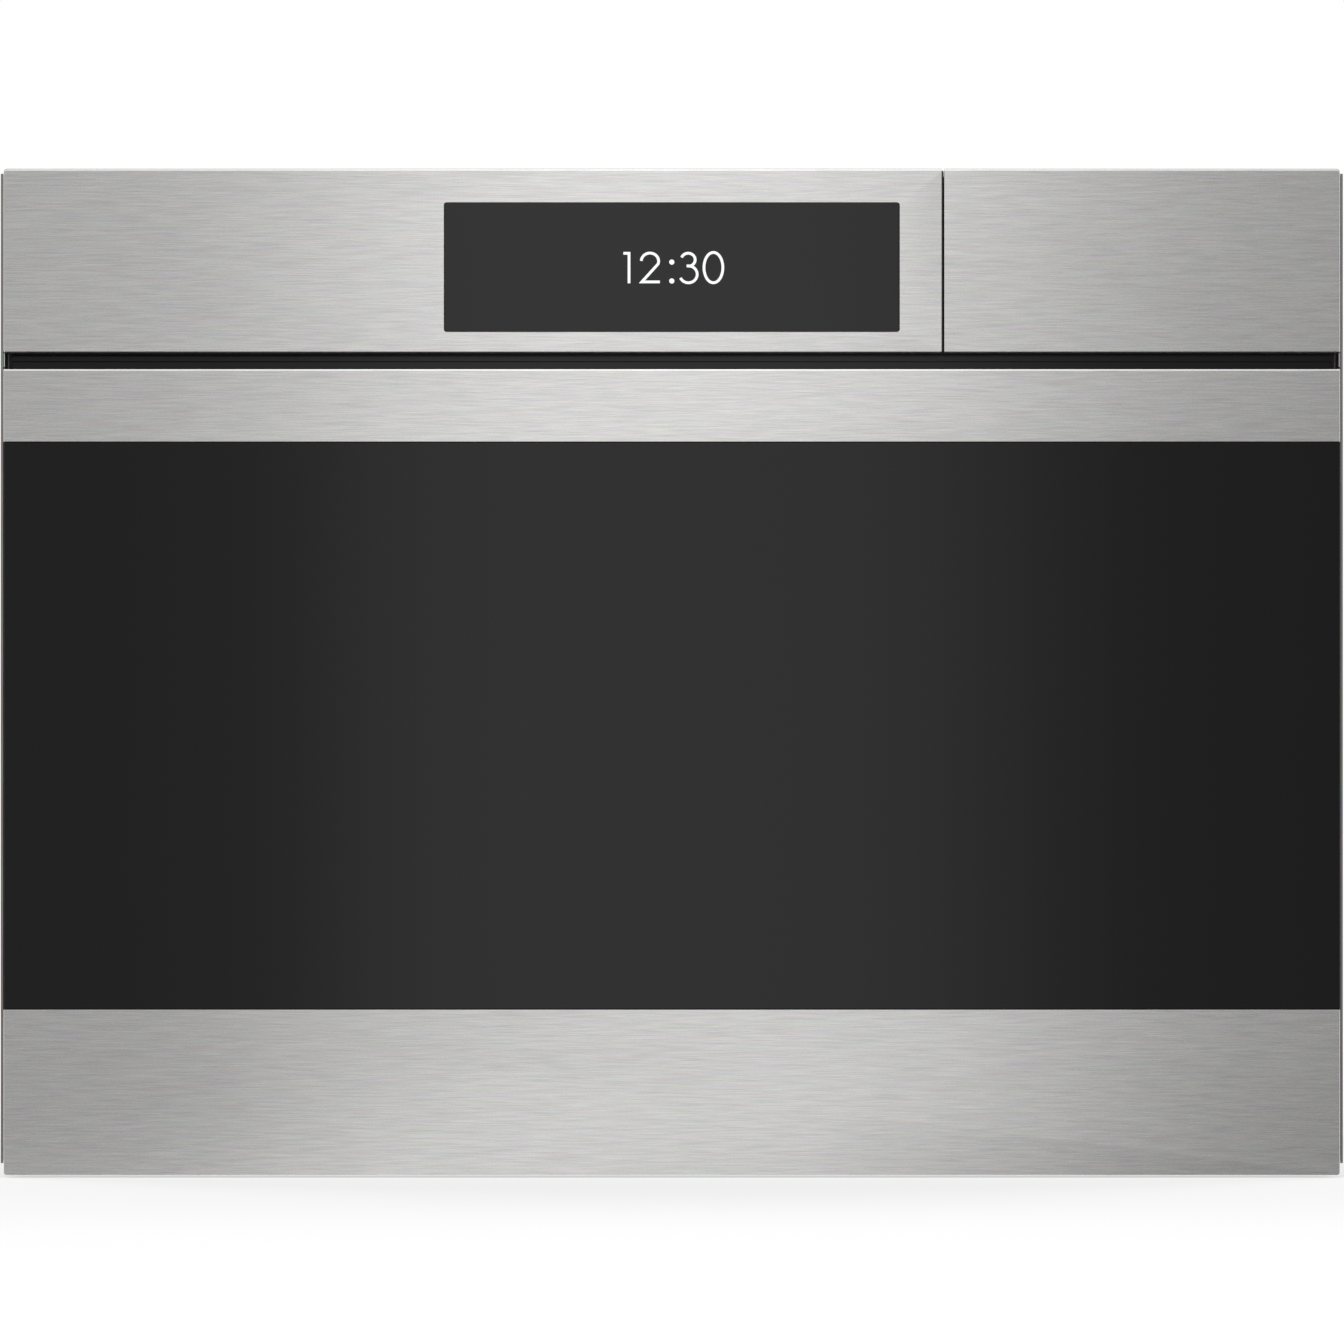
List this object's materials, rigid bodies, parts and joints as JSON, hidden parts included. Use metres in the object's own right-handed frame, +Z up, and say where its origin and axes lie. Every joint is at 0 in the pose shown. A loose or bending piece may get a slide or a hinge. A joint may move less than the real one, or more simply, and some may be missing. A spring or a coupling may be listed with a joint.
{
  "type": "steam convection oven",
  "caption": "Built-in compact steam convection oven with a handleless drop-down door, wide steel fascia, touch display and a push-to-open water drawer.",
  "frame": {"origin": "middle of the base of the whole oven's box: centre of width and depth, underside of the skids", "axes": "+X to the right as seen from the front, -Y is the front with door and fascia, +Z up"},
  "size_m": [0.597, 0.569, 0.4485],
  "materials": {
    "front_steel": "brushed",
    "black_glass": "polished",
    "clear_glass": "polished",
    "lens_glass": "frosted",
    "cavity_steel": "satin",
    "casing_zinc": "galvanised",
    "flange_black": "satin",
    "wire_chrome": "polished",
    "hinge_steel": "zinc plated",
    "black_plastic": "matt",
    "grey_plastic": "matt",
    "tank_plastic": "clear",
    "seal_rubber": "matt",
    "insulation_wool": "fibrous",
    "circuit_board": "lacquered",
    "motor_metal": "satin",
    "heater_metal": "heat tinted",
    "aluminium_part": "cast"
  },
  "bodies": {
    "chassis": {"mounting_frame": "flange_black", "base_pan": "casing_zinc", "outer_cover": "casing_zinc", "rear_panel": "casing_zinc", "casing_screws": "hinge_steel", "air_duct": "casing_zinc", "cavity": "cavity_steel", "cavity_insulation": "insulation_wool", "door_seal": "seal_rubber", "rack_support_left": "wire_chrome", "rack_support_right": "wire_chrome", "fan_baffle": "cavity_steel", "ring_heater": "heater_metal", "fan_motor": "motor_metal", "steam_generator": "aluminium_part", "steam_pipe": "cavity_steel", "water_pump": "black_plastic", "drain_sump": "cavity_steel", "oven_lamp": "casing_zinc", "lamp_lens": "lens_glass", "temperature_sensor": "cavity_steel", "vent_duct": "casing_zinc", "fascia_carrier": "black_plastic", "control_fascia": "front_steel", "display_glass": "black_glass", "display_module": "circuit_board", "control_board": "circuit_board", "blower_housing": "casing_zinc", "blower_motor": "motor_metal", "terminal_box": "black_plastic", "hinge_arm_left": "hinge_steel", "hinge_arm_right": "hinge_steel", "hinge_springs": "hinge_steel", "door_opener": "black_plastic", "door_switch": "black_plastic", "tank_bay": "grey_plastic", "runner_outer": "casing_zinc"},
    "door": {"door_top_trim": "front_steel", "door_bottom_trim": "front_steel", "door_outer_glass": "black_glass", "door_middle_glass": "clear_glass", "door_inner_glass": "clear_glass", "door_frame": "flange_black", "glass_retainers": "black_plastic", "hinge_knuckles": "hinge_steel"},
    "tank_drawer": {"drawer_front": "front_steel", "drawer_carriage": "grey_plastic", "water_tank": "tank_plastic", "tank_lid": "grey_plastic"},
    "runners": {"runner_middle": "casing_zinc"},
    "convection_fan": {"fan_wheel": "cavity_steel", "fan_shaft": "hinge_steel"},
    "cooling_fan": {"blower_wheel": "black_plastic"},
    "damper": {"vent_damper": "cavity_steel"},
    "rack": {"wire_rack": "wire_chrome"},
    "steam_pan": {"perforated_pan": "cavity_steel"},
    "drip_pan": {"solid_pan": "cavity_steel"},
    "strainer": {"sump_strainer": "cavity_steel"},
    "opener": {"opener_rod": "hinge_steel"},
    "plunger": {"switch_plunger": "grey_plastic"}
  },
  "joints": [
    {"name": "door_hinge", "type": "hinge", "parent": "chassis", "child": "door", "pos_m": [0, -0.2725, 0.023], "axis": [1, 0, 0], "range_deg": [0, 90], "stiffness_Nm_per_rad": 5, "springref_deg": -28.65},
    {"name": "opener_stroke", "type": "slide", "parent": "chassis", "child": "opener", "axis": [0, -1, 0], "range_m": [0, 0.03]},
    {"name": "switch_press", "type": "slide", "parent": "chassis", "child": "plunger", "axis": [0, 1, 0], "range_m": [0, 0.002], "stiffness_N_per_m": 250, "springref_m": -0.002},
    {"name": "drawer_slide", "type": "slide", "parent": "chassis", "child": "tank_drawer", "axis": [0, -1, 0], "range_m": [0, 0.2]},
    {"name": "runner_slide", "type": "slide", "parent": "chassis", "child": "runners", "axis": [0, -1, 0], "range_m": [0, 0.1]},
    {"name": "fan_spin", "type": "hinge", "parent": "chassis", "child": "convection_fan", "pos_m": [0, 0.1375, 0.191], "axis": [0, 1, 0], "continuous": true},
    {"name": "blower_spin", "type": "hinge", "parent": "chassis", "child": "cooling_fan", "pos_m": [-0.1, 0.1605, 0.39], "axis": [0, 0, 1], "continuous": true},
    {"name": "damper_turn", "type": "hinge", "parent": "chassis", "child": "damper", "pos_m": [0.165, 0.1755, 0.258], "axis": [1, 0, 0], "range_deg": [0, 90]},
    {"name": "rack_slide", "type": "slide", "parent": "chassis", "child": "rack", "axis": [0, -1, 0], "range_m": [0, 0.012]},
    {"name": "steam_pan_slide", "type": "slide", "parent": "chassis", "child": "steam_pan", "axis": [0, -1, 0], "range_m": [0, 0.012]},
    {"name": "drip_pan_slide", "type": "slide", "parent": "chassis", "child": "drip_pan", "axis": [0, -1, 0], "range_m": [0, 0.012]},
    {"name": "strainer_lift", "type": "slide", "parent": "chassis", "child": "strainer", "axis": [0, 0, 1], "range_m": [0, 0.03]}
  ],
  "couplings": [
    {"joint": "opener_stroke", "follows": "door_hinge", "m_per_rad": 0.019},
    {"joint": "runner_slide", "follows": "drawer_slide", "ratio": 0.5}
  ]
}
